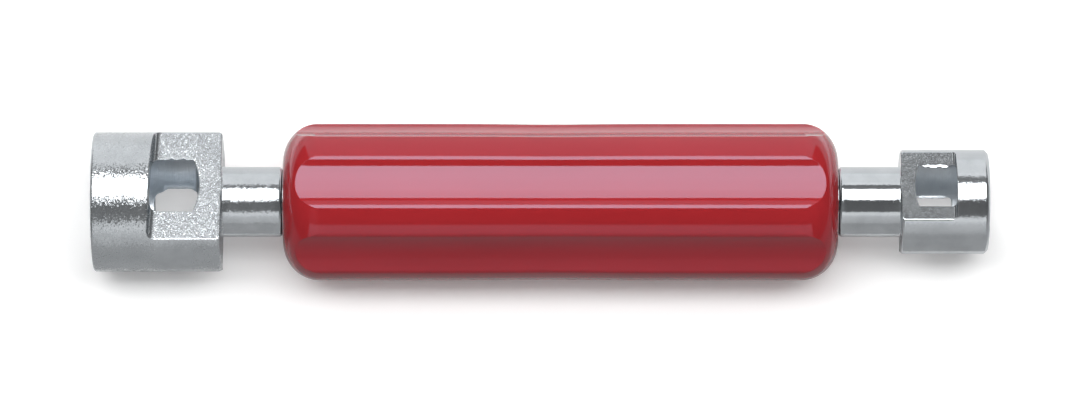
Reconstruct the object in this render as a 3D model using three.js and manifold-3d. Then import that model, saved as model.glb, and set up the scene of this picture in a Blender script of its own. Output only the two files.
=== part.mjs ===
// A double-ended brake spring tool: a fluted plastic handle with a turned steel cup pressed into each end.
// Each cup is pushed over the washer of a brake shoe's hold-down spring and turned to free the pin.
// Millimetres. X is the tool's axis, with the small cup at +X. Z is up as the tool lies on a bench.

import * as THREE from "three";
import { mergeVertices } from "three/addons/utils/BufferGeometryUtils.js";
import Module from "manifold-3d";

// The fluted handle
const HANDLE_LENGTH = 113.15;
const HANDLE_DIAMETER = 32.15; // over the round lands that the flutes leave
const HANDLE_END_ROUNDING = 7.5;
const FLUTE_COUNT = 6;
const FLUTE_RADIUS = 16.2; // of the shallow hollow itself
const FLUTE_DEPTH = 1.7; // below the lands
const FLUTE_EDGE_ROUNDING = 1.8;

// The shank behind each cup, and the tang that is pressed into the handle
const SHANK_DIAMETER = 14.3;
const SHANK_ROOT_FILLET = 0.4;
const SHOULDER_CHAMFER = 0.35;
const TANG_DIAMETER = 11.1;
const TANG_LENGTH = 30;
const TANG_CHAMFER = 0.8;
const SPLINE_COUNT = 24;
const SPLINE_HEIGHT = 0.35;
const SPLINE_LEAD_IN = 4; // plain stretch of the tang ahead of the splines
const FIT_GAP = 0.3; // splines to bore wall, and shoulder to end face
const BORE_RELIEF = 2; // room past the end of the tang

// What both cups share
const DRILL_POINT_ANGLE = 118;
const FLAT_ABOVE_SHANK = 0.12; // the milled flats clear the shank by this much
const FLAT_TURN = 11.6; // degrees from upright to the flats' normal, towards +Y
const WASHER_CLEARANCE = 0.7;
const RIM_CHAMFER = 0.3; // inner edge of the mouth

// The large cup
const LARGE_WASHER_DIAMETER = 23.8;
const LARGE_RIM_WALL = 2;
const LARGE_RECESS_DEPTH = 4;
const LARGE_BORE_DIAMETER = 18.6;
const LARGE_BORE_DEPTH = 20.5; // rim to the end of the full bore
const LARGE_WEB = 5.7; // end of the full bore to the back face
const LARGE_RING_LENGTH = 11.9; // rim to the milled step
const LARGE_STEP_FILLET = 1.5;
const LARGE_STEP_SLANT = 2.5; // degrees off square
const LARGE_FRONT_CHAMFER = 0.35;
const LARGE_BACK_CHAMFER = 0.45;
const LARGE_SHANK_LENGTH = 12.2;

// The small cup
const SMALL_WASHER_DIAMETER = 17.5;
const SMALL_RIM_WALL = 1.55;
const SMALL_RECESS_DEPTH = 3;
const SMALL_BORE_DIAMETER = 17.3;
const SMALL_BORE_DEPTH = 14.2;
const SMALL_WEB = 3.65;
const SMALL_RING_LENGTH = 6.7;
const SMALL_STEP_FILLET = 0.8;
const SMALL_FRONT_CHAMFER = 0.7;
const SMALL_BACK_CHAMFER = 0.4;
const SMALL_SHANK_LENGTH = 12.5;

// How finely round shapes are cut into facets
const TURNED_SIDES = 64;
const FLUTE_STEPS = 3;
const FILLET_STEPS = 3;
const CORNER_STEPS = 8;

const radians = THREE.MathUtils.degToRad;
const shankRadius = SHANK_DIAMETER / 2;
const splineRadius = TANG_DIAMETER / 2 + SPLINE_HEIGHT;

const LARGE_CUP = {
  washer: LARGE_WASHER_DIAMETER,
  wall: LARGE_RIM_WALL,
  recessDepth: LARGE_RECESS_DEPTH,
  bore: LARGE_BORE_DIAMETER,
  boreDepth: LARGE_BORE_DEPTH,
  length: LARGE_BORE_DEPTH + LARGE_WEB,
  ringLength: LARGE_RING_LENGTH,
  stepFillet: LARGE_STEP_FILLET,
  stepSlant: LARGE_STEP_SLANT,
  frontChamfer: LARGE_FRONT_CHAMFER,
  backChamfer: LARGE_BACK_CHAMFER,
  shankLength: LARGE_SHANK_LENGTH,
};

const SMALL_CUP = {
  washer: SMALL_WASHER_DIAMETER,
  wall: SMALL_RIM_WALL,
  recessDepth: SMALL_RECESS_DEPTH,
  bore: SMALL_BORE_DIAMETER,
  boreDepth: SMALL_BORE_DEPTH,
  length: SMALL_BORE_DEPTH + SMALL_WEB,
  ringLength: SMALL_RING_LENGTH,
  stepFillet: SMALL_STEP_FILLET,
  stepSlant: 0, // milled square
  frontChamfer: SMALL_FRONT_CHAMFER,
  backChamfer: SMALL_BACK_CHAMFER,
  shankLength: SMALL_SHANK_LENGTH,
};

const wasm = await Module();
wasm.setup();

// A closed geometry as a solid that can be joined and cut.
function solid(geometry) {
  const bare = new THREE.BufferGeometry();
  bare.setAttribute("position", geometry.getAttribute("position"));
  bare.setIndex(geometry.index);
  const merged = mergeVertices(bare, 1e-4);
  const mesh = new wasm.Mesh({
    numProp: 3,
    vertProperties: merged.getAttribute("position").array,
    triVerts: new Uint32Array(merged.index.array),
  });
  return new wasm.Manifold(mesh);
}

// The finished solid as a geometry for a mesh.
function geometryOf(body) {
  const mesh = body.getMesh();
  const geometry = new THREE.BufferGeometry();
  geometry.setAttribute("position", new THREE.BufferAttribute(mesh.vertProperties, 3));
  geometry.setIndex(new THREE.BufferAttribute(mesh.triVerts, 1));
  geometry.computeVertexNormals();
  return geometry;
}

// A body turned about the X axis from a profile of (distance along X, radius) points.
function turned(profile) {
  const points = profile.map(([along, radius]) => new THREE.Vector2(radius, along));
  const lathe = new THREE.LatheGeometry(points, TURNED_SIDES);
  return solid(lathe.rotateZ(-Math.PI / 2));
}

// An outline in the YZ plane pushed along X from start.
function extrudedAlongAxis(shape, start, length, curveSegments) {
  const options = { depth: length, bevelEnabled: false, curveSegments };
  const bar = new THREE.ExtrudeGeometry(shape, options);
  return solid(bar.rotateX(Math.PI / 2).rotateZ(Math.PI / 2).translate(start, 0, 0));
}

// Points of a quarter circle in a profile, from one angle to the next in degrees.
function profileArc(centreAlong, centreRadius, radius, fromAngle, toAngle, steps) {
  return Array.from({ length: steps + 1 }, (_, step) => {
    const angle = radians(fromAngle + ((toAngle - fromAngle) * step) / steps);
    return [centreAlong + radius * Math.cos(angle), centreRadius + radius * Math.sin(angle)];
  });
}

// The angle of a triangle between two of its sides, from the lengths of all three.
function angleBetween(sideA, sideB, opposite) {
  return Math.acos((sideA ** 2 + sideB ** 2 - opposite ** 2) / (2 * sideA * sideB));
}

// Cross-section of the handle: round lands, and between them concave flutes with rounded edges,
// each arc tangent to the next. A flute faces straight down, so the handle rests on two lands.
function flutedOutline() {
  const pitch = (2 * Math.PI) / FLUTE_COUNT;
  const land = HANDLE_DIAMETER / 2;
  const rounding = FLUTE_EDGE_ROUNDING;
  const edgeCentre = land - rounding;
  const fluteCentre = land - FLUTE_DEPTH + FLUTE_RADIUS;
  const centreDistance = FLUTE_RADIUS + rounding;
  const edgeTurn = angleBetween(edgeCentre, fluteCentre, centreDistance);
  const fluteSweep = angleBetween(centreDistance, fluteCentre, edgeCentre);
  const outline = new THREE.Shape();
  const arc = (distance, direction, radius, from, to, clockwise) =>
    outline.absarc(
      distance * Math.cos(direction),
      distance * Math.sin(direction),
      radius,
      from,
      to,
      clockwise,
    );
  for (let flute = 0; flute < FLUTE_COUNT; flute++) {
    const facing = pitch * flute - Math.PI / 2;
    const next = facing + pitch;
    const back = facing + Math.PI;
    const landStart = facing + edgeTurn;
    const landEnd = next - edgeTurn;
    arc(fluteCentre, facing, FLUTE_RADIUS, back + fluteSweep, back - fluteSweep, true);
    arc(edgeCentre, landStart, rounding, facing - fluteSweep, landStart, false);
    arc(0, facing, land, landStart, landEnd, false);
    arc(edgeCentre, landEnd, rounding, landEnd, next + fluteSweep, false);
  }
  return outline;
}

// The handle: a fluted bar with turned, rounded ends and a blind bore for each tang.
function handleSolid() {
  const land = HANDLE_DIAMETER / 2;
  const corner = HANDLE_END_ROUNDING;
  const overrun = 1;
  const envelope = land + overrun;
  const flutedBar = extrudedAlongAxis(flutedOutline(), 0, HANDLE_LENGTH, FLUTE_STEPS);
  const turnedEnds = turned([
    [0, 0],
    ...profileArc(corner, land - corner, corner, 180, 90, CORNER_STEPS),
    [2 * corner, envelope],
    [HANDLE_LENGTH - 2 * corner, envelope],
    ...profileArc(HANDLE_LENGTH - corner, land - corner, corner, 90, 0, CORNER_STEPS),
    [HANDLE_LENGTH, 0],
  ]);
  const boreRadius = splineRadius + FIT_GAP;
  const boreDepth = TANG_LENGTH - FIT_GAP + BORE_RELIEF;
  const drilled = (from, to) =>
    turned([
      [from, 0],
      [from, boreRadius],
      [to, boreRadius],
      [to, 0],
    ]);
  return flutedBar
    .intersect(turnedEnds)
    .subtract(drilled(-overrun, boreDepth))
    .subtract(drilled(HANDLE_LENGTH - boreDepth, HANDLE_LENGTH + overrun));
}

// Straight splines round the tang, which bite into the plastic and carry the turning force.
function splineSolid(start, length) {
  const pitch = (2 * Math.PI) / SPLINE_COUNT;
  const outline = new THREE.Shape();
  for (let tooth = 0; tooth < SPLINE_COUNT; tooth++) {
    const root = tooth * pitch;
    const crest = root + pitch / 2;
    const rootRadius = splineRadius - SPLINE_HEIGHT;
    const move = tooth === 0 ? "moveTo" : "lineTo";
    outline[move](rootRadius * Math.cos(root), rootRadius * Math.sin(root));
    outline.lineTo(splineRadius * Math.cos(crest), splineRadius * Math.sin(crest));
  }
  outline.closePath();
  return extrudedAlongAxis(outline, start, length, 1);
}

// The space that the milling cutter clears behind a cup's ring, on the +Z side.
function flatCutter(cup, cupRadius) {
  const floor = shankRadius + FLAT_ABOVE_SHANK;
  const fillet = cup.stepFillet;
  const overrun = 1;
  const top = cupRadius + overrun;
  const end = cup.length + 2 * overrun;
  const width = 4 * cupRadius;
  const outline = new THREE.Shape();
  outline.moveTo(0, top);
  outline.lineTo(0, floor + fillet);
  outline.absarc(fillet, floor + fillet, fillet, Math.PI, 1.5 * Math.PI, false);
  outline.lineTo(end - cup.ringLength, floor);
  outline.lineTo(end - cup.ringLength, top);
  const options = { depth: width, bevelEnabled: false, curveSegments: FILLET_STEPS };
  const block = new THREE.ExtrudeGeometry(outline, options);
  block.translate(0, 0, -width / 2).rotateX(Math.PI / 2);
  return block.rotateZ(-radians(cup.stepSlant)).translate(cup.ringLength, 0, 0);
}

// A cup with its shank and tang in one piece. The rim is at X = 0 and the tang points to +X.
function cupSolid(cup) {
  const recessRadius = (cup.washer + WASHER_CLEARANCE) / 2;
  const cupRadius = recessRadius + cup.wall;
  const boreRadius = cup.bore / 2;
  const drillPoint = boreRadius / Math.tan(radians(DRILL_POINT_ANGLE / 2));
  const shoulder = cup.length + cup.shankLength;
  const tangEnd = shoulder + TANG_LENGTH;
  const tangRadius = TANG_DIAMETER / 2;
  const fillet = SHANK_ROOT_FILLET;
  const body = turned([
    [cup.boreDepth + drillPoint, 0],
    [cup.boreDepth, boreRadius],
    [cup.recessDepth, boreRadius],
    [cup.recessDepth, recessRadius],
    [RIM_CHAMFER, recessRadius],
    [0, recessRadius + RIM_CHAMFER],
    [0, cupRadius - cup.frontChamfer],
    [cup.frontChamfer, cupRadius],
    [cup.length - cup.backChamfer, cupRadius],
    [cup.length, cupRadius - cup.backChamfer],
    ...profileArc(cup.length + fillet, shankRadius + fillet, fillet, 180, 270, FILLET_STEPS),
    [shoulder - SHOULDER_CHAMFER, shankRadius],
    [shoulder, shankRadius - SHOULDER_CHAMFER],
    [shoulder, tangRadius],
    [tangEnd - TANG_CHAMFER, tangRadius],
    [tangEnd, tangRadius - TANG_CHAMFER],
    [tangEnd, 0],
  ]);
  const splineStart = shoulder - SHOULDER_CHAMFER;
  const splineLength = TANG_LENGTH - SPLINE_LEAD_IN + SHOULDER_CHAMFER;
  const cutter = flatCutter(cup, cupRadius);
  return body
    .add(splineSolid(splineStart, splineLength))
    .subtract(solid(cutter))
    .subtract(solid(cutter.clone().rotateX(Math.PI)));
}

function part(name, body, material) {
  const mesh = new THREE.Mesh(geometryOf(body), material);
  mesh.name = name;
  return mesh;
}

// Where each piece starts along the axis, with the whole tool centred on the origin
const toolLength =
  LARGE_CUP.length +
  LARGE_CUP.shankLength +
  FIT_GAP +
  HANDLE_LENGTH +
  FIT_GAP +
  SMALL_CUP.shankLength +
  SMALL_CUP.length;
const largeRim = -toolLength / 2;
const handleStart = largeRim + LARGE_CUP.length + LARGE_CUP.shankLength + FIT_GAP;
const smallRim = toolLength / 2;

const redPlastic = new THREE.MeshStandardMaterial({ color: 0xa82a2e, roughness: 0.12, metalness: 0 });
const largeCupSteel = new THREE.MeshStandardMaterial({ color: 0xc4c9cc, roughness: 0.38, metalness: 1 });
const smallCupSteel = new THREE.MeshStandardMaterial({ color: 0xbcc2c7, roughness: 0.28, metalness: 1 });

const handle = part("handle", handleSolid(), redPlastic);
handle.position.x = handleStart;

const largeCup = part("large_cup", cupSolid(LARGE_CUP), largeCupSteel);
largeCup.position.x = largeRim;
largeCup.rotation.x = -radians(FLAT_TURN);

const smallCup = part("small_cup", cupSolid(SMALL_CUP), smallCupSteel);
smallCup.position.x = smallRim;
smallCup.rotation.set(-radians(FLAT_TURN), 0, Math.PI);

const tool = new THREE.Group();
tool.name = "brake_spring_tool";
tool.add(handle, largeCup, smallCup);

export default tool;
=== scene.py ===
"""Looks of a brake spring tool: a fluted red plastic handle with a plated steel cup in each end."""

import math
from types import SimpleNamespace

import bmesh
import bpy
from mathutils import Matrix, Vector


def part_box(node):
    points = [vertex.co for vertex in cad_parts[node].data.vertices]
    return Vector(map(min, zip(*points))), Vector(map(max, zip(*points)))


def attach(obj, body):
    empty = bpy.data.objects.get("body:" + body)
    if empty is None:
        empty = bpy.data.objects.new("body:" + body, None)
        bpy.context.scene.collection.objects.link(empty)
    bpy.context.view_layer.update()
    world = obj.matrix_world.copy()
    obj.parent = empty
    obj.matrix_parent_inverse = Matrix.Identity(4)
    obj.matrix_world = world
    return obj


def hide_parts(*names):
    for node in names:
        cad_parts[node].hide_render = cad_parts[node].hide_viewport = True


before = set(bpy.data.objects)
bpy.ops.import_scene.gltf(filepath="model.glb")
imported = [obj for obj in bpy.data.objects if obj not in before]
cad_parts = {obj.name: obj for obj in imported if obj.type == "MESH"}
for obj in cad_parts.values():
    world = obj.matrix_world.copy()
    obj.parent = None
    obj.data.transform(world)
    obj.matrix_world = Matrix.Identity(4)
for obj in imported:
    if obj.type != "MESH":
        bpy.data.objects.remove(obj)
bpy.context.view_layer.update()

# Sizes are in millimetres, as on the drawing. Meshes are brought to metres when they are made.
MM = 0.001
WELD = 0.0004 * MM  # points closer than this become one
TINY = 1e-6

# The handle
FLUTE_COUNT = 6
FLUTE_RADIUS = 16.2
FLUTE_DEPTH = 1.7
FLUTE_EDGE_ROUNDING = 1.8
END_ROUNDING = 7.5
RUNOUT_ROUNDING = 0.4  # edge where a flute runs out through the rounded end
WAIST_DEPTH = 0.14  # the bar is drawn in a little near the middle
WAIST_PLACE = 2.0
WAIST_SPREAD = 12.0
HANDLE_BORE_RADIUS = 6.2
HANDLE_BORE_DEPTH = 31.7
MOUTH_CHAMFER = 0.3

# How finely the handle is cut into faces
FLUTE_STEPS = 26
FLUTE_EDGE_STEPS = 12
LAND_STEPS = 10
LENGTH_STEPS = 48

# What both cups share
SHANK_RADIUS = 7.15
SHANK_ROOT_FILLET = 0.4
SHOULDER_CHAMFER = 0.35
TANG_RADIUS = 5.55
TANG_LENGTH = 30.0
TANG_CHAMFER = 0.8
SPLINE_COUNT = 24
SPLINE_HEIGHT = 0.35
SPLINE_LEAD_IN = 4.0
FLAT_HEIGHT = 7.27  # axis to milled flat
FLAT_TURN = math.radians(11.6)  # of the flats' normal, towards +Y
POINT_SLOPE = math.tan(math.radians(118 / 2))  # radius over length of the drill point
RIM_CHAMFER = 0.3
EDGE_BREAK = 0.15  # on every sharp edge of the steel
EDGE_BREAK_ANGLE = math.radians(32)  # edges that turn by less stay as they are
BURR_TAPER = 6  # a burr fades out over one in this many parts of its window, at each end

# How finely the cups are cut into faces round the axis
COLUMN_STEP = 1.4  # degrees
LEAST_COLUMNS = 12  # between two edges

UP_FLAT, DOWN_FLAT = 0, 1


def burr(lift, overhang, wander, reach):
    """A torn or rolled window edge: how far it is turned up, hangs in, wanders, and reaches in radians."""
    return SimpleNamespace(lift=lift, overhang=overhang, wander=wander, reach=reach)


# Burrs are named by their flat and by their side of it, 1 where the angle from its normal is positive.
LARGE = SimpleNamespace(
    name="large_cup",
    radius=14.25,
    recess=12.25,
    recess_depth=4.0,
    bore=9.3,
    bore_depth=20.5,
    length=26.2,
    ring=11.9,
    step_fillet=1.5,
    step_slant=math.tan(math.radians(2.5)),
    front_chamfer=0.35,
    back_chamfer=0.45,
    shank_length=12.2,
    burrs={
        (UP_FLAT, 1): burr(lift=0.18, overhang=0.0, wander=0.22, reach=0.12),
        (DOWN_FLAT, -1): burr(lift=-0.15, overhang=-0.8, wander=0.04, reach=0.2),
    },
)
SMALL = SimpleNamespace(
    name="small_cup",
    radius=10.65,
    recess=9.1,
    recess_depth=3.0,
    bore=8.65,
    bore_depth=14.2,
    length=17.85,
    ring=6.7,
    step_fillet=0.8,
    step_slant=0.0,
    front_chamfer=0.7,
    back_chamfer=0.4,
    shank_length=12.5,
    burrs={
        (UP_FLAT, -1): burr(lift=-0.14, overhang=0.62, wander=0.1, reach=0.05),
        (DOWN_FLAT, 1): burr(lift=-0.1, overhang=0.35, wander=0.1, reach=0.06),
    },
)


def spread(start, end, count):
    """Evenly spaced values after start, up to and including end."""
    return [start + (end - start) * i / count for i in range(1, count + 1)]


def polar(distance, angle):
    """The point (y, z) this far from the axis, at this angle from straight up towards +Y."""
    return Vector((distance * math.sin(angle), distance * math.cos(angle)))


def finished(bm, name):
    """A smooth-shaded mesh with its faces turned outwards."""
    bmesh.ops.remove_doubles(bm, verts=bm.verts, dist=WELD)
    bmesh.ops.recalc_face_normals(bm, faces=bm.faces)
    for face in bm.faces:
        face.smooth = True
    mesh = bpy.data.meshes.new(name)
    bm.to_mesh(mesh)
    bm.free()
    return mesh


def piece(name, mesh, materials, node):
    """Puts a finished mesh in the scene in place of a node of the CAD model."""
    made = bpy.data.objects.new(name, mesh)
    bpy.context.collection.objects.link(made)
    for material in materials:
        mesh.materials.append(material)
    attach(made, "root")
    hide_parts(node)
    return made


# The handle's mesh


def fluted_outline(land):
    """Points (y, z) of the handle's section: flutes, round lands and the rounded edges between them."""
    edge = FLUTE_EDGE_ROUNDING
    flute_centre = land - FLUTE_DEPTH + FLUTE_RADIUS
    edge_centre = land - edge
    touch = FLUTE_RADIUS + edge
    cosine = (flute_centre**2 + edge_centre**2 - touch**2) / (2 * flute_centre * edge_centre)
    edge_angle = math.acos(cosine)
    cosine = (flute_centre**2 + touch**2 - edge_centre**2) / (2 * flute_centre * touch)
    sweep = math.acos(cosine)
    pitch = 2 * math.pi / FLUTE_COUNT
    far_angle = pitch - edge_angle
    points = []
    for flute in range(FLUTE_COUNT):
        facing = flute * pitch
        for turn in spread(-sweep, sweep, FLUTE_STEPS):
            points.append(polar(flute_centre, facing) - polar(FLUTE_RADIUS, facing - turn))
        for turn in spread(-sweep, edge_angle, FLUTE_EDGE_STEPS):
            points.append(polar(edge_centre, facing + edge_angle) + polar(edge, facing + turn))
        for turn in spread(edge_angle, far_angle, LAND_STEPS):
            points.append(polar(land, facing + turn))
        for turn in spread(far_angle, pitch + sweep, FLUTE_EDGE_STEPS):
            points.append(polar(edge_centre, facing + far_angle) + polar(edge, facing + turn))
    return points


def end_point(land, radius, facing):
    """Depth and radius of the rounded end, where its profile faces this far round from the axis."""
    inner = land - END_ROUNDING
    reach = END_ROUNDING - RUNOUT_ROUNDING
    meet = math.asin(min(1.0, (radius - RUNOUT_ROUNDING - inner) / reach))
    if facing <= meet:
        return END_ROUNDING * (1 - math.cos(facing)), inner + END_ROUNDING * math.sin(facing)
    depth = END_ROUNDING - reach * math.cos(meet) - RUNOUT_ROUNDING * math.cos(facing)
    return depth, radius - RUNOUT_ROUNDING * (1 - math.sin(facing))


def handle_mesh():
    """A column for each point of the outline, from the bottom of one bore over the bar to the other's."""
    low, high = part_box("handle")
    start, end, land = low.x / MM, high.x / MM, high.y / MM
    inner = [
        (HANDLE_BORE_DEPTH, HANDLE_BORE_RADIUS),
        (HANDLE_BORE_DEPTH / 2, HANDLE_BORE_RADIUS),
        (MOUTH_CHAMFER, HANDLE_BORE_RADIUS),
        (0.0, HANDLE_BORE_RADIUS + MOUTH_CHAMFER),
    ]
    # Finer from 60 degrees on, where the flutes run out
    facings = [math.radians(angle) for angle in [0.0] + spread(0, 60, 24) + spread(60, 90, 20)]
    bm = bmesh.new()
    columns = []
    for point in fluted_outline(land):
        radius = point.length
        side = point / radius
        profile = inner + [end_point(land, radius, facing) for facing in facings]
        left = [(start + depth, r) for depth, r in profile]
        right = [(end - depth, r) for depth, r in reversed(profile)]
        middle = [(x, radius) for x in spread(left[-1][0], right[0][0], LENGTH_STEPS)[:-1]]
        column = []
        for x, r in left + middle + right:
            waist = WAIST_DEPTH * math.exp(-(((x - WAIST_PLACE) / WAIST_SPREAD) ** 2))
            r -= waist * max(0.0, r - HANDLE_BORE_RADIUS) / (land - HANDLE_BORE_RADIUS)
            column.append(bm.verts.new((x * MM, side.x * r * MM, side.y * r * MM)))
        columns.append(column)
    for here, there in zip(columns, columns[1:] + columns[:1]):
        for i in range(len(here) - 1):
            bm.faces.new((here[i], here[i + 1], there[i + 1], there[i]))
    bm.faces.new([column[0] for column in columns])
    bm.faces.new([column[-1] for column in columns])
    return finished(bm, "grip")


# The cups' meshes. Each column round the axis has its own profile, so the flats and windows are exact.

TURNED, MILLED, BORED, EDGE, SHANK, TANG = range(6)


def cup_columns(cup):
    """Angle from the flat's normal, which flat it is, and whether the next step lies in the window."""
    flat_edge = math.acos(FLAT_HEIGHT / cup.radius)
    window_edge = math.acos(FLAT_HEIGHT / cup.bore)
    burr_edge = window_edge + max(edge.reach for edge in cup.burrs.values())
    ahead = [window_edge, burr_edge, flat_edge, math.pi / 2]
    marks = [-angle for angle in reversed(ahead)] + ahead
    columns = []
    for flat in (UP_FLAT, DOWN_FLAT):
        for begin, finish in zip(marks, marks[1:]):
            count = max(LEAST_COLUMNS, round(math.degrees(finish - begin) / COLUMN_STEP))
            in_window = begin == -window_edge
            for angle in [begin] + spread(begin, finish, count)[:-1]:
                columns.append((angle, flat, in_window))
    return columns


def cup_profile(cup, angle):
    """Rows (x, radius, finish, skip) from the drill point's tip round to the shank's root, rim at x = 0."""
    cosine = max(math.cos(angle), TINY)
    sine = math.sin(angle)
    flat = min(FLAT_HEIGHT / cosine, cup.radius)
    fillet = cup.step_fillet
    in_window = flat <= cup.bore + TINY
    least = cup.bore if in_window else 0.0

    def step(radius):
        return cup.ring + radius * sine * cup.step_slant

    def fillet_turn(radius):
        height = min(max(radius * cosine, FLAT_HEIGHT), FLAT_HEIGHT + fillet)
        return math.asin(min(1.0, (FLAT_HEIGHT + fillet - height) / fillet))

    def fillet_point(turn):
        height = FLAT_HEIGHT + fillet * (1 - math.sin(turn))
        radius = max(least, min(height / cosine, cup.radius))
        return step(radius) + fillet * (1 - math.cos(turn)), radius

    rows = []

    def line(x, radius, count, finish, skip=False):
        x0, r0 = rows[-1][:2]
        for part in spread(0, 1, count):
            rows.append((x0 + (x - x0) * part, r0 + (radius - r0) * part, finish, skip))

    # The bore, from the drill point out to the rim
    cone_radius = min(flat, cup.bore)
    cone_x = cup.bore_depth + (cup.bore - cone_radius) / POINT_SLOPE
    turn_in = fillet_turn(cup.bore)
    front_x = step(cup.bore) + fillet * (1 - math.cos(turn_in))
    rows.append((cup.bore_depth + cup.bore / POINT_SLOPE, 0.0, BORED, False))
    line(cone_x, cone_radius, 10, BORED)
    line(front_x, cup.bore, 28, BORED, skip=True)
    line(cup.recess_depth, cup.bore, 8, BORED)
    line(cup.recess_depth, cup.recess, 4, BORED)
    line(RIM_CHAMFER, cup.recess, 4, BORED)
    line(0.0, cup.recess + RIM_CHAMFER, 1, EDGE)
    line(0.0, cup.radius - cup.front_chamfer, 2, TURNED)
    line(cup.front_chamfer, cup.radius, 2, EDGE)

    # The ring, the step down and the flat
    turn_out = fillet_turn(cup.radius)
    edge_x, foot = fillet_point(turn_out)
    line(edge_x, cup.radius, 20, TURNED)
    line(edge_x, foot, 8, MILLED)
    for turn in spread(turn_out, turn_in, 8):
        rows.append((*fillet_point(turn), MILLED, False))
    line(cone_x, flat, 28, MILLED, skip=True)

    # The back face and the fillet at the shank's root, as far as the flat leaves them
    root = SHANK_RADIUS + SHANK_ROOT_FILLET
    root_turn = math.asin(max(0.0, (root - flat) / SHANK_ROOT_FILLET))
    back_radius = min(flat, cup.radius - cup.back_chamfer)
    back_x = cup.length - min(cup.back_chamfer, max(0.0, flat - back_radius))
    back_x += SHANK_ROOT_FILLET * (1 - math.cos(root_turn))
    line(back_x, flat, 10, MILLED if flat < cup.radius else TURNED)
    line(max(back_x, cup.length), back_radius, 1, TURNED)
    line(max(back_x, cup.length), min(back_radius, root), 6, TURNED)
    for turn in spread(root_turn, math.pi / 2, 5):
        x = cup.length + SHANK_ROOT_FILLET * (1 - math.cos(turn))
        rows.append((x, root - SHANK_ROOT_FILLET * math.sin(turn), TURNED, False))
    return rows


def shank_rows(cup, angle):
    """The rest of the profile, which no flat reaches: shank, shoulder and splined tang."""
    root = cup.length + SHANK_ROOT_FILLET
    shoulder = cup.length + cup.shank_length
    tang_end = shoulder + TANG_LENGTH
    crest = TANG_RADIUS + SPLINE_HEIGHT * (1 - math.cos(SPLINE_COUNT * angle)) / 2
    rows = [(x, SHANK_RADIUS, SHANK) for x in spread(root, shoulder - SHOULDER_CHAMFER, 8)]
    rows += [
        (shoulder, SHANK_RADIUS - SHOULDER_CHAMFER, SHANK),
        # From the shoulder's face on, the tang's near-black material is painted shade for the gap at the
        # handle's mouth
        (shoulder, crest, TANG),
        (tang_end - SPLINE_LEAD_IN - SPLINE_HEIGHT, crest, TANG),
        (tang_end - SPLINE_LEAD_IN, TANG_RADIUS, TANG),
        (tang_end - TANG_CHAMFER, TANG_RADIUS, TANG),
        (tang_end, TANG_RADIUS - TANG_CHAMFER, TANG),
        (tang_end, 0.0, TANG),
    ]
    return [(*row, False) for row in rows]


def unevenness(along):
    """A few waves of different lengths, for an edge that was torn or rolled and not cut."""
    return math.sin(19 * along + 1.0) + 0.7 * math.sin(37 * along) + 0.5 * math.sin(71 * along + 2.0)


def burr_move(cup, x, angle, flat):
    """How far a point near a window's torn edge is moved sideways and up, in millimetres."""
    side = 1 if angle > 0 else -1
    edge = cup.burrs.get((flat, side))
    past = abs(angle) - math.acos(FLAT_HEIGHT / cup.bore)
    along = (x - cup.ring - cup.step_fillet) / (cup.bore_depth - cup.ring - cup.step_fillet)
    if not edge or not 0.0 < along < 1.0 or not -TINY <= past < edge.reach:
        return 0.0, 0.0
    fade = (1 - past / edge.reach) ** 2 * min(1.0, BURR_TAPER * along, BURR_TAPER * (1 - along))
    wave = unevenness(along)
    outwards = edge.wander * (0.6 + 0.8 * wave) - edge.overhang
    return side * outwards * fade, edge.lift * fade**2 * (1 + edge.wander * wave)


def cup_mesh(cup, place):
    """Columns round the axis, with no faces where the flats break into the bore."""
    bm = bmesh.new()
    columns = []
    for angle, flat, in_window in cup_columns(cup):
        rows = cup_profile(cup, angle) + shank_rows(cup, angle + flat * math.pi)
        column = []
        for x, radius, finish, skip in rows:
            y, z = radius * math.sin(angle), radius * math.cos(angle)
            if skip or finish == MILLED:
                shift, lift = burr_move(cup, x, angle, flat)
                y, z = y + shift, z + lift
            if flat == DOWN_FLAT:
                y, z = -y, -z
            column.append(bm.verts.new(place @ Vector((x * MM, y * MM, z * MM))))
        columns.append((column, rows, in_window))
    for (here, rows, in_window), (there, _, _) in zip(columns, columns[1:] + columns[:1]):
        for i in range(len(here) - 1):
            finish, skip = rows[i + 1][2:]
            if skip and in_window:
                continue
            face = bm.faces.new((here[i], here[i + 1], there[i + 1], there[i]))
            face.material_index = finish
    bmesh.ops.remove_doubles(bm, verts=bm.verts, dist=WELD)
    bmesh.ops.dissolve_degenerate(bm, edges=bm.edges, dist=WELD)
    bmesh.ops.delete(bm, geom=[v for v in bm.verts if not v.link_faces], context="VERTS")
    return finished(bm, cup.name)


def break_edges(made):
    """Rounds every sharp edge a little, as plating and handling do, and keeps the flats flat to look at."""
    bevel = made.modifiers.new("edge_break", "BEVEL")
    bevel.width = EDGE_BREAK * MM
    bevel.segments = 2
    bevel.limit_method = "ANGLE"
    bevel.angle_limit = EDGE_BREAK_ANGLE
    bevel.use_clamp_overlap = False
    made.modifiers.new("even_shading", "WEIGHTED_NORMAL")


# Materials

# Darkest and lightest colours
RED = ((0.37, 0.016, 0.019), (0.40, 0.019, 0.023))
PLATING = ((0.565, 0.597, 0.624), (0.635, 0.668, 0.696))
# The tang and the shoulder's face are nearly black: painted shade for the narrow gap between each shank and
# the handle
TANG_PAINTED_SHADE = ((0.05, 0.05, 0.055), (0.11, 0.11, 0.12))

# Scales of the lines that a lathe and a milling cutter leave
ROUND_LINES = (5.0, 0.2, 0.2)
MILLED_LINES = (1.0, 6.0, 1.0)


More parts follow.
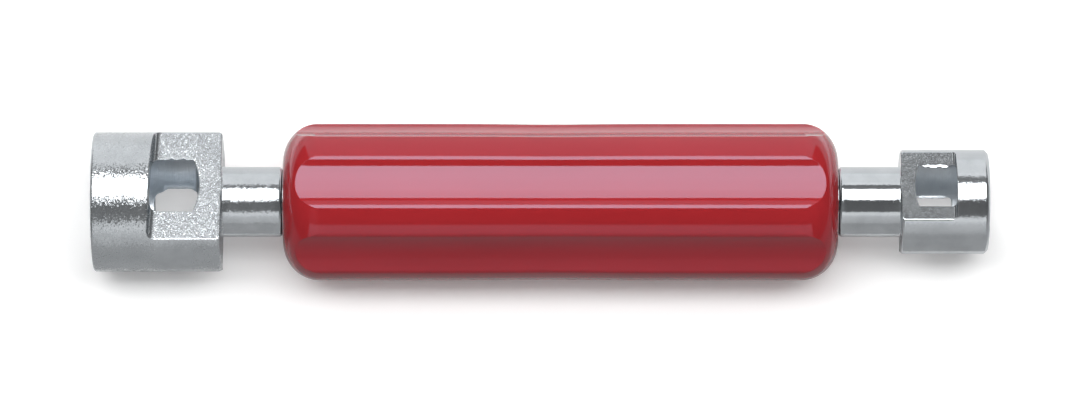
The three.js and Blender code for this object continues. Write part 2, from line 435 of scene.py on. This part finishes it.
class Graph:
    """Adds nodes to a material's or a world's tree, with settings and inputs given by name."""

    def __init__(self, owner):
        owner.use_nodes = True
        self.tree = owner.node_tree

    def __getitem__(self, name):
        return self.tree.nodes[name]

    def link(self, output, node, socket):
        self.tree.links.new(output, node.inputs[socket])

    def add(self, kind, inputs=(), **settings):
        node = self.tree.nodes.new(kind)
        for name, value in settings.items():
            setattr(node, name, value)
        for socket, value in dict(inputs).items():
            if isinstance(value, bpy.types.NodeSocket):
                self.link(value, node, socket)
            else:
                node.inputs[socket].default_value = value
        return node

    def number_math(self, operation, one, other):
        return self.add("ShaderNodeMath", {0: one, 1: other}, operation=operation).outputs[0]

    def vector_math(self, operation, inputs):
        return self.add("ShaderNodeVectorMath", inputs, operation=operation).outputs[0]

    def millimetres(self, scale=(1, 1, 1), turn=(0, 0, 0)):
        """Object coordinates in millimetres, stretched and turned as asked."""
        coordinates = self.add("ShaderNodeTexCoord").outputs["Object"]
        inputs = {"Vector": coordinates, "Scale": [s / MM for s in scale], "Rotation": turn}
        return self.add("ShaderNodeMapping", inputs).outputs[0]

    def noise(self, vector, scale, detail=2.0):
        inputs = {"Vector": vector, "Scale": scale, "Detail": detail}
        return self.add("ShaderNodeTexNoise", inputs).outputs["Fac"]

    def ramp(self, factor, stops):
        """A colour ramp from (place, colour) stops."""
        node = self.add("ShaderNodeValToRGB", {"Fac": factor})
        elements = node.color_ramp.elements
        while len(elements) < len(stops):
            elements.new(0.5)
        for element, (place, colour) in zip(elements, stops):
            element.position = place
            element.color = (*colour, 1.0)
        return node.outputs["Color"]

    def between(self, factor, low, high):
        """A value from low to high, as a noise goes over the middle of its range."""
        inputs = {"Value": factor, "From Min": 0.3, "From Max": 0.7, "To Min": low, "To Max": high}
        return self.add("ShaderNodeMapRange", inputs).outputs["Result"]

    def bump(self, height, distance, before):
        inputs = {"Height": height, "Distance": distance * MM, "Strength": 1.0, "Normal": before}
        return self.add("ShaderNodeBump", inputs).outputs["Normal"]

    def facets(self, size, lean):
        """Normals that lean at random by about this many degrees, the same all over each small facet."""
        cells = self.add("ShaderNodeTexVoronoi", {"Vector": self.millimetres(), "Scale": 1 / size})
        centred = self.vector_math("SUBTRACT", {0: cells.outputs["Color"], 1: (0.5, 0.5, 0.5)})
        clusters = self.noise(self.millimetres(), 0.5 / size, 1.0)
        amount = self.between(clusters, math.radians(0.8 * lean), math.radians(3.2 * lean))
        leaning = self.vector_math("SCALE", {0: centred, "Scale": amount})
        facing = self.add("ShaderNodeNewGeometry").outputs["Normal"]
        leant = self.vector_math("ADD", {0: facing, 1: leaning})
        return self.vector_math("NORMALIZE", {0: leant})


def two_stops(low, high, colours):
    """Stops for a ramp from the first colour to the second."""
    return list(zip((low, high), colours))


def red_plastic():
    """Glossy plastic with faint clouds in its colour and faint scuffs in its gloss."""
    material = bpy.data.materials.new("red_plastic")
    g = Graph(material)
    shader = g["Principled BSDF"]
    clouds = g.noise(g.millimetres((0.03, 0.12, 0.12)), 1.0, 3.0)
    g.link(g.ramp(clouds, two_stops(0.3, 0.7, RED)), shader, "Base Color")
    scuffs = g.noise(g.millimetres((0.6, 0.9, 0.9)), 1.0, 4.0)
    g.link(g.between(scuffs, 0.04, 0.055), shader, "Roughness")
    shader.inputs["IOR"].default_value = 1.57
    shader.inputs["Specular Tint"].default_value = (0.62, 0.77, 1.0, 1.0)
    return material


def cut(rough, facet, lean, lines, depth, turn=0):
    """What a tool leaves on steel: roughness range, facets' size and lean, lines' scale, depth and turn."""
    return SimpleNamespace(rough=rough, facet=facet, lean=lean, lines=lines, depth=depth, turn=turn)


def steel(name, colours, marks):
    """Plated steel: small facets that lean at random, and fine lines left by the tool that cut it."""
    material = bpy.data.materials.new(name)
    g = Graph(material)
    shader = g["Principled BSDF"]
    shader.inputs["Metallic"].default_value = 1.0
    stain = g.noise(g.millimetres((0.22, 0.22, 0.22)), 1.0, 4.0)
    g.link(g.ramp(stain, two_stops(0.32, 0.68, colours)), shader, "Base Color")
    patches = g.noise(g.millimetres((1.3, 1.3, 1.3)), 1.0, 3.0)
    g.link(g.between(patches, *marks.rough), shader, "Roughness")
    lines = g.noise(g.millimetres(marks.lines, (0, 0, math.radians(marks.turn))), 1.0, 2.0)
    g.link(g.bump(lines, marks.depth, g.facets(marks.facet, marks.lean)), shader, "Normal")
    return material


def turned(material):
    """Lathe marks run round the axis, so they blur reflections along it."""
    g = Graph(material)
    shader = g["Principled BSDF"]
    shader.inputs["Anisotropic"].default_value = 0.9
    shader.inputs["Anisotropic Rotation"].default_value = 0.25
    g.link(g.add("ShaderNodeTangent", direction_type="RADIAL", axis="X").outputs[0], shader, "Tangent")
    return material


def cup_materials(cup, bored, ring, flat, shank):
    """One material for each finish, in their order. Bored is two colours, and the others are cuts."""
    bore_cut = cut((0.3, 0.42), 0.3, 2, ROUND_LINES, 0.05)
    edge_cut = cut((0.12, 0.2), 0.3, 0.5, ROUND_LINES, 0.002)
    tang_cut = cut((0.35, 0.5), 0.3, 1, ROUND_LINES, 0.01)
    return [
        turned(steel(cup.name + "_turned", PLATING, ring)),
        steel(cup.name + "_milled", PLATING, flat),
        steel(cup.name + "_bored", bored, bore_cut),
        steel(cup.name + "_edge", PLATING, edge_cut),
        turned(steel(cup.name + "_shank", PLATING, shank)),
        # Painted shade: the tang's near-black colour stands for the shade in the gap at the handle's mouth
        steel(cup.name + "_tang", TANG_PAINTED_SHADE, tang_cut),
    ]


# The pieces

plastic = red_plastic()
grip = piece("grip", handle_mesh(), [plastic], "handle")
grip.visible_glossy = False  # the photo's steel shows no red in its edges

large_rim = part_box("large_cup")[0].x
small_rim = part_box("small_cup")[1].x
turn = Matrix.Rotation(-FLAT_TURN, 4, "X")
large_place = Matrix.Translation((large_rim, 0, 0)) @ turn
small_place = Matrix.Translation((small_rim, 0, 0)) @ turn @ Matrix.Rotation(math.pi, 4, "Z")
large_steel = cup_materials(
    LARGE,
    bored=((0.62, 0.68, 0.73), (0.76, 0.81, 0.86)),
    ring=cut((0.23, 0.29), 0.2, 5.0, ROUND_LINES, 0.004),
    flat=cut((0.2, 0.27), 0.17, 4.2, MILLED_LINES, 0.003),
    shank=cut((0.17, 0.22), 0.2, 2.5, ROUND_LINES, 0.003),
)
small_steel = cup_materials(
    SMALL,
    # A darker copy of the large cup's bore colours: painted shade inside the small cup's narrower window
    bored=((0.57, 0.61, 0.65), (0.7, 0.74, 0.77)),
    ring=cut((0.15, 0.2), 0.2, 1.6, ROUND_LINES, 0.003),
    flat=cut((0.13, 0.19), 0.17, 1.5, MILLED_LINES, 0.004, turn=35),
    shank=cut((0.1, 0.14), 0.2, 0.9, ROUND_LINES, 0.002),
)
for cup, place, materials in ((LARGE, large_place, large_steel), (SMALL, small_place, small_steel)):
    made = piece(cup.name + "_steel", cup_mesh(cup, place), materials, cup.name)
    break_edges(made)


# The studio, in metres: a pale bench, soft lights of their own for the bench and the handle,
# lamps that only make highlights, cards that only reflections see, and pads of painted shade on the bench
# that only reflections see

FLOOR_SIZE = 6.0
FLOOR_NEAR, FLOOR_FAR = 0.2, 0.6  # between these it turns from a lit bench into plain white
BENCH_COLOUR = 0.99
BENCH_GLOW = 0.165
BENCH_BOUNCE = 0.45  # as the tool is lit by it
BENCH_MIRRORED = 0.75  # as the tool reflects it
AMBIENT = 0.15
LIGHT_DISTANCE = 1.0
LIGHT_REACH = 0.75  # of the soft lights along X, each way
CARD_DISTANCE = 1.1
CARD_STEPS = 40
FLAG_PLACE = 0.6
FLAG_COLOUR = (0.14, 0.14, 0.14)
PAD_LIFT = 0.0003


def seen_directly(g):
    """1 for rays that show the background as it is: from the camera, by reflection or through glass."""
    path = g.add("ShaderNodeLightPath").outputs
    seen = g.number_math("MAXIMUM", path["Is Camera Ray"], path["Is Glossy Ray"])
    return g.number_math("MAXIMUM", seen, path["Is Transmission Ray"])


def stage_mesh(name, verts, faces, material):
    """A mesh of the studio, which is no piece of the tool."""
    mesh = bpy.data.meshes.new(name)
    mesh.from_pydata(verts, [], faces)
    mesh.materials.append(material)
    made = bpy.data.objects.new(name, mesh)
    bpy.context.collection.objects.link(made)
    return made


def bench_white():
    """Pale and lit near the tool, plain white far from it, and darker where it only lights the tool."""
    material = bpy.data.materials.new("bench_white")
    g = Graph(material)
    path = g.add("ShaderNodeLightPath").outputs
    shader = g["Principled BSDF"]
    speckle = g.noise(g.millimetres((0.8, 0.8, 0.8)), 1.0, 3.0)
    pale = ((BENCH_COLOUR - 0.01,) * 3, (BENCH_COLOUR + 0.01,) * 3)
    g.link(g.ramp(speckle, two_stops(0.3, 0.7, pale)), shader, "Base Color")
    shader.inputs["Roughness"].default_value = 0.9
    shader.inputs["Specular IOR Level"].default_value = 0.0
    shader.inputs["Emission Color"].default_value = (1, 1, 1, 1)
    shader.inputs["Emission Strength"].default_value = BENCH_GLOW
    limits = {"Value": path["Is Glossy Ray"], "To Min": BENCH_BOUNCE, "To Max": BENCH_MIRRORED}
    tone = g.add("ShaderNodeMapRange", limits).outputs[0]
    other = g.add("ShaderNodeBsdfDiffuse", {"Color": tone}).outputs[0]
    near = g.add("ShaderNodeMixShader", {0: path["Is Camera Ray"], 1: other, 2: shader.outputs[0]})
    white = g.add("ShaderNodeEmission", {"Strength": seen_directly(g)})
    place = g.add("ShaderNodeTexCoord").outputs["Object"]
    away = g.add("ShaderNodeVectorMath", {0: place}, operation="LENGTH").outputs["Value"]
    limits = {"Value": away, "From Min": FLOOR_NEAR, "From Max": FLOOR_FAR}
    far = g.add("ShaderNodeMapRange", limits, interpolation_type="SMOOTHSTEP").outputs[0]
    floor = g.add("ShaderNodeMixShader", {0: far, 1: near.outputs[0], 2: white.outputs[0]})
    g.link(floor.outputs[0], g["Material Output"], "Surface")
    return material


def bench(level):
    """A square floor at this height."""
    half = FLOOR_SIZE / 2
    corners = [(x, y, level) for x, y in ((-half, -half), (half, -half), (half, half), (-half, half))]
    return stage_mesh("bench", corners, [(0, 1, 2, 3)], bench_white())


def reflected_only(made):
    """Leaves an object in glossy reflections and takes it out of everything else."""
    made.visible_camera = False
    made.visible_diffuse = False
    made.visible_transmission = False
    made.visible_shadow = False


def card(name, left, right, stops):
    """A strip along X at (angle from straight up towards +Y, brightness) stops, seen in reflections only."""
    low, high = stops[0][0], stops[-1][0]
    verts = []
    for angle in [low] + spread(low, high, CARD_STEPS):
        y, z = polar(CARD_DISTANCE, math.radians(angle))
        verts += [(left, y, z), (right, y, z)]
    faces = [(2 * i, 2 * i + 1, 2 * i + 3, 2 * i + 2) for i in range(CARD_STEPS)]
    material = bpy.data.materials.new(name)
    g = Graph(material)
    place = g.add("ShaderNodeSeparateXYZ", {0: g.add("ShaderNodeTexCoord").outputs["Object"]}).outputs
    angle = g.number_math("ARCTAN2", place["Y"], place["Z"])
    limits = {"Value": angle, "From Min": math.radians(low), "From Max": math.radians(high)}
    along = g.add("ShaderNodeMapRange", limits).outputs[0]
    tones = [((a - low) / (high - low), (tone,) * 3) for a, tone in stops]
    glow = g.add("ShaderNodeEmission", {"Color": g.ramp(along, tones)})
    g.link(glow.outputs[0], g["Material Output"], "Surface")
    reflected_only(stage_mesh(name, verts, faces, material))


def flag(name, corners, colour):
    """A flat card of about one colour, seen in reflections only."""
    material = bpy.data.materials.new(name)
    g = Graph(material)
    shade = g.noise(g.millimetres((0.01, 0.01, 0.01)), 1.0, 2.0)
    shades = ([0.9 * c for c in colour], [1.1 * c for c in colour])
    glow = g.add("ShaderNodeEmission", {"Color": g.ramp(shade, two_stops(0.3, 0.7, shades))})
    g.link(glow.outputs[0], g["Material Output"], "Surface")
    reflected_only(stage_mesh(name, corners, [(0, 1, 2, 3)], material))


def shade_pad(name, left, right, near, far, colour):
    """A flag flat on the bench, between two distances from the tool's axis, darker than the bench: painted
    shade as reflections see it.
    """
    corners = ((left, far), (right, far), (right, near), (left, near))
    flag(name, [(x, y, bench_level + PAD_LIFT) for x, y in corners], colour)


def lamp(name, place, tilt, size, radiance, only):
    """A rectangular light that shines straight down, then is tilted about X. None lights everything."""
    data = bpy.data.lights.new(name, "AREA")
    data.shape = "RECTANGLE"
    data.size, data.size_y = size
    data.energy = radiance * math.pi * data.size * data.size_y
    made = bpy.data.objects.new(name, data)
    made.location = place
    made.rotation_euler = (tilt, 0, 0)
    made.light_linking.receiver_collection = only
    bpy.context.collection.objects.link(made)
    return made


def soft_light(name, front, back, left, right, radiance, only):
    """A soft light overhead, between two angles from straight up towards +Y."""

    def edge(angle):
        return Vector(((left + right) / 2, *polar(LIGHT_DISTANCE, math.radians(angle))))

    near, far = edge(front), edge(back)
    tilt = math.radians(-(front + back) / 2)
    return lamp(name, (near + far) / 2, tilt, (right - left, (far - near).length), radiance, only)


def glint(name, front, back, left, right, radiance, only=None):
    """A soft light that shows as a highlight and lights nothing else."""
    soft_light("glint_" + name, front, back, left, right, radiance, only).visible_diffuse = False


def only_for(lit):
    """A collection that keeps a light to one object."""
    group = bpy.data.collections.new("light_for_" + lit.name)
    group.objects.link(lit)
    return group


def surroundings():
    """A white room that lights the tool only a little."""
    world = bpy.data.worlds.new("white_room")
    bpy.context.scene.world = world
    g = Graph(world)
    g["Background"].inputs["Color"].default_value = (1, 1, 1, 1)
    strength = g.add("ShaderNodeMapRange", {"Value": seen_directly(g), "To Min": AMBIENT, "To Max": 1.0})
    g.link(strength.outputs[0], g["Background"], "Strength")


bench_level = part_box("handle")[0].z
bench_only = only_for(bench(bench_level))
grip_only = only_for(grip)

# Soft lights: front and back edges in degrees from straight up, and radiance
for name, front, back, radiance, only in (
    ("overhead", -13, 19, 4.4, grip_only),
    ("behind", 48, 72, 1.65, grip_only),
    ("bench_wide", -16, 20, 1.9, bench_only),
    ("bench_core", -9, 7, 4.2, bench_only),
    ("bench_behind", 40, 52, 3.6, bench_only),
):
    soft_light(name, front, back, -LIGHT_REACH, LIGHT_REACH, radiance, only).visible_glossy = False

# Highlights: front and back edges in degrees, left and right ends, and radiance
glint("front", -4.5, 12, -0.145, 0.32, 5.1)
glint("front_left", -12.5, 12, -0.32, -0.145, 5.1)
glint("front_right", -9.5, -4.5, 0.135, 0.32, 5.1)
glint("front_grip", -8.5, -4.5, -0.145, 0.15, 5.1, grip_only)
glint("middle", 12, 25.5, -0.32, 0.32, 4.8)
glint("left", 25.5, 30.4, -0.32, -0.1, 4.8)
glint("back_grip", 25.5, 38, -0.13, 0.15, 4.9, grip_only)

# A strip on the bench that shines up behind the handle, seen in the handle's far edge
sheen = lamp("sheen", (0, 0.052, bench_level + 0.002), math.pi, (0.5, 0.03), 0.8, grip_only)
sheen.visible_diffuse = False
surroundings()

card("front_card_left", -1.4, -0.1, [
    (-92, 0.56), (-66, 0.76), (-58.5, 1.05), (-51, 1.05), (-47.5, 0.3), (-8.5, 0.27),
])
card("front_card_right", -0.1, 1.4, [
    (-92, 0.5), (-66, 0.66), (-58.5, 0.9), (-51, 0.9), (-47.5, 0.16), (-8.5, 0.13),
])
card("back_card", -1.4, 1.4, [(26.2, 0.25), (41.5, 0.2), (43, 1.06), (49, 1.08), (55, 0.95)])
for name, x in (("left_flag", -FLAG_PLACE), ("right_flag", FLAG_PLACE)):
    corners = ((-0.9, bench_level), (1.0, bench_level), (1.0, 1.5), (-0.9, 1.5))
    flag(name, [(x, y, z) for y, z in corners], FLAG_COLOUR)
# A grey sheet on the bench in front of the tool, seen only in reflections: painted shade of the bench beside
# the tool, and a greyer bench further out
shade_pad("front_shade_pad", -0.8, 0.8, -0.0165, -1.1, (0.42, 0.42, 0.42))
# Painted shade of the bench just behind the handle, pinkish, as the handle's upper edge reflects it
shade_pad("back_shade_pad", -0.047, 0.055, 0.0165, 0.034, (0.75, 0.52, 0.56))


# The camera looks down at the tool from its front, in front of its middle as in the photo

CAMERA_DISTANCE = 1.349
CAMERA_ELEVATION = math.radians(74.5)
CAMERA_AIM = Vector((-0.15, 0.0, -0.1)) * MM
CAMERA_SENSOR = 36
CAMERA_LENS = 220

lens = bpy.data.cameras.new("camera")
lens.sensor_width = CAMERA_SENSOR
lens.lens = CAMERA_LENS
camera = bpy.data.objects.new("camera", lens)
away = Vector((0, -math.cos(CAMERA_ELEVATION), math.sin(CAMERA_ELEVATION)))
camera.location = CAMERA_AIM + away * CAMERA_DISTANCE
camera.rotation_euler = (-away).to_track_quat("-Z", "Y").to_euler()
bpy.context.collection.objects.link(camera)
bpy.context.scene.camera = camera
bpy.context.scene.view_settings.view_transform = "Standard"
